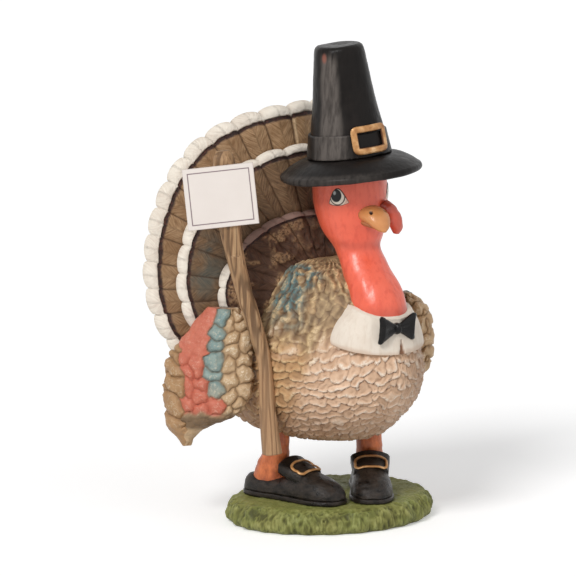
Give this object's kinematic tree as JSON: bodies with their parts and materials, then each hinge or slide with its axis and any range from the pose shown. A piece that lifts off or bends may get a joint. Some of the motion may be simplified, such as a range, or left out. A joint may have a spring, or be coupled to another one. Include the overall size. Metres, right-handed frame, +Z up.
{
  "type": "holiday turkey figure",
  "caption": "Standing turkey figure in a tall buckled hat, bow tie and buckled shoes, with a scalloped tail fan, holding a picket sign with a bare card, on an oval grass base.",
  "frame": {"origin": "centre of the grass base's flat underside", "axes": "+Z up to the hat, -Y the way the bird faces, +X towards the bird's left wing"},
  "size_m": [0.1841, 0.1574, 0.2945],
  "materials": {
    "grass_green": "matt painted casting, lumpy like turf",
    "leg_orange": "matt painted casting",
    "steel": "bare rod, hidden in the castings",
    "shoe_black": "satin black paint",
    "antique_gold": "antique gold paint, worn at the edges",
    "breast_feathers": "matt paint with a brown wash, carved feathers",
    "wing_feathers": "matt paint with a brown wash, carved feathers",
    "skin_red": "satin coral red paint",
    "beak_tan": "satin tan orange paint",
    "eye_gloss": "gloss paint, cream with a black pupil",
    "collar_white": "matt off-white paint",
    "bow_black": "satin black paint",
    "hat_black": "satin charcoal black paint with grey streaks",
    "fan_brown": "matt paint, brown streaks and white rims",
    "stick_wood": "weathered, with carved grain",
    "card_paper": "matt cream card"
  },
  "bodies": {
    "root": {"grass_base": "grass_green", "right_leg": "leg_orange", "left_leg": "leg_orange", "right_leg_rod": "steel", "right_tail_peg": "steel", "right_wing_peg": "steel", "left_leg_rod": "steel", "left_tail_peg": "steel", "left_wing_peg": "steel", "neck_dowel": "steel", "right_shoe_sole": "shoe_black", "right_shoe_upper": "shoe_black", "right_shoe_tongue": "shoe_black", "left_shoe_sole": "shoe_black", "left_shoe_upper": "shoe_black", "left_shoe_tongue": "shoe_black", "right_shoe_buckle": "antique_gold", "left_shoe_buckle": "antique_gold", "hat_buckle": "antique_gold", "body": "breast_feathers", "right_wing": "wing_feathers", "left_wing": "wing_feathers", "neck_and_head": "skin_red", "snood": "skin_red", "upper_beak": "beak_tan", "lower_beak": "beak_tan", "right_eye": "eye_gloss", "left_eye": "eye_gloss", "collar": "collar_white", "bow_tie": "bow_black", "bow_knot": "bow_black", "hat_crown": "hat_black", "hat_brim": "hat_black", "hat_band": "hat_black", "tail_fan_outer": "fan_brown", "tail_fan_middle": "fan_brown", "tail_fan_inner": "fan_brown", "sign_stick": "stick_wood", "sign_card": "card_paper"}
  },
  "joints": []
}
